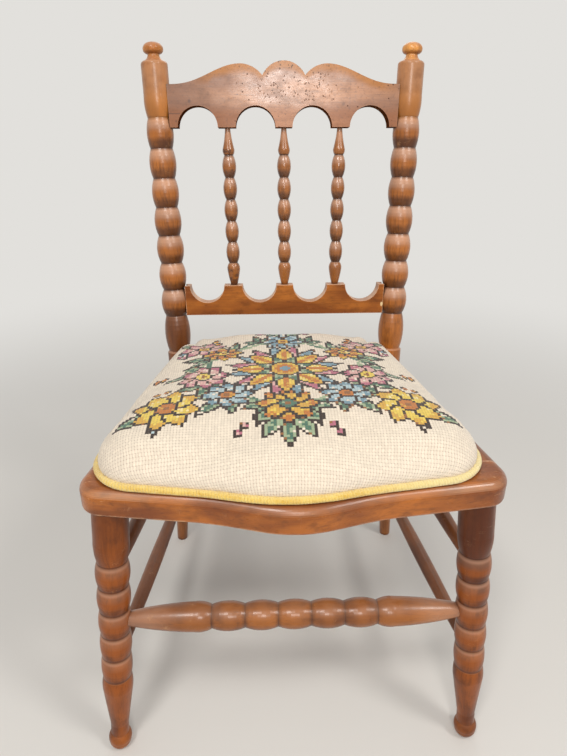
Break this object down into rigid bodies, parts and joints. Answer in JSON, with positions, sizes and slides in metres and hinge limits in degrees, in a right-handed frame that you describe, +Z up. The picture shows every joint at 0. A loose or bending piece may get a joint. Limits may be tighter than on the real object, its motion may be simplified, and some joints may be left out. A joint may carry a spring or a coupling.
{
  "type": "child-size side chair",
  "caption": "Small wooden side chair with bead-turned back posts, spindles and legs, scalloped back rails, a bow-fronted seat frame and a stuffed needlepoint pad.",
  "frame": {"origin": "centre of the bounding box in plan, on the floor", "axes": "+Z up, -Y towards the sitter's feet, so the back stands on the +Y side; +X to the right as seen from the front"},
  "size_m": [0.371, 0.344, 0.6378],
  "materials": {
    "frame_wood": "satin varnish",
    "back_wood": "satin varnish",
    "bead_wood": "satin varnish",
    "leg_wood": "satin varnish",
    "dowel_wood": "bare",
    "jute": "woven",
    "linen": "woven",
    "fibre_filling": "matt",
    "needlepoint_wool": "matt stitched wool",
    "welt_wool": "matt"
  },
  "bodies": {
    "root": {"front_rail": "frame_wood", "left_rail": "frame_wood", "right_rail": "frame_wood", "rear_rail": "frame_wood", "frame_dowels": "dowel_wood", "left_post": "back_wood", "right_post": "back_wood", "left_finial": "bead_wood", "right_finial": "bead_wood", "crest_rail": "back_wood", "lower_back_rail": "back_wood", "left_spindle": "bead_wood", "centre_spindle": "bead_wood", "right_spindle": "bead_wood", "left_front_leg": "leg_wood", "right_front_leg": "leg_wood", "front_stretcher": "bead_wood", "left_upper_stretcher": "leg_wood", "right_upper_stretcher": "leg_wood", "left_lower_stretcher": "leg_wood", "right_lower_stretcher": "leg_wood", "rear_stretcher": "leg_wood", "webbing_across": "jute", "webbing_along": "jute", "seat_canvas": "linen", "stuffing": "fibre_filling", "needlepoint_cover": "needlepoint_wool", "seat_welt": "welt_wool"}
  },
  "joints": []
}
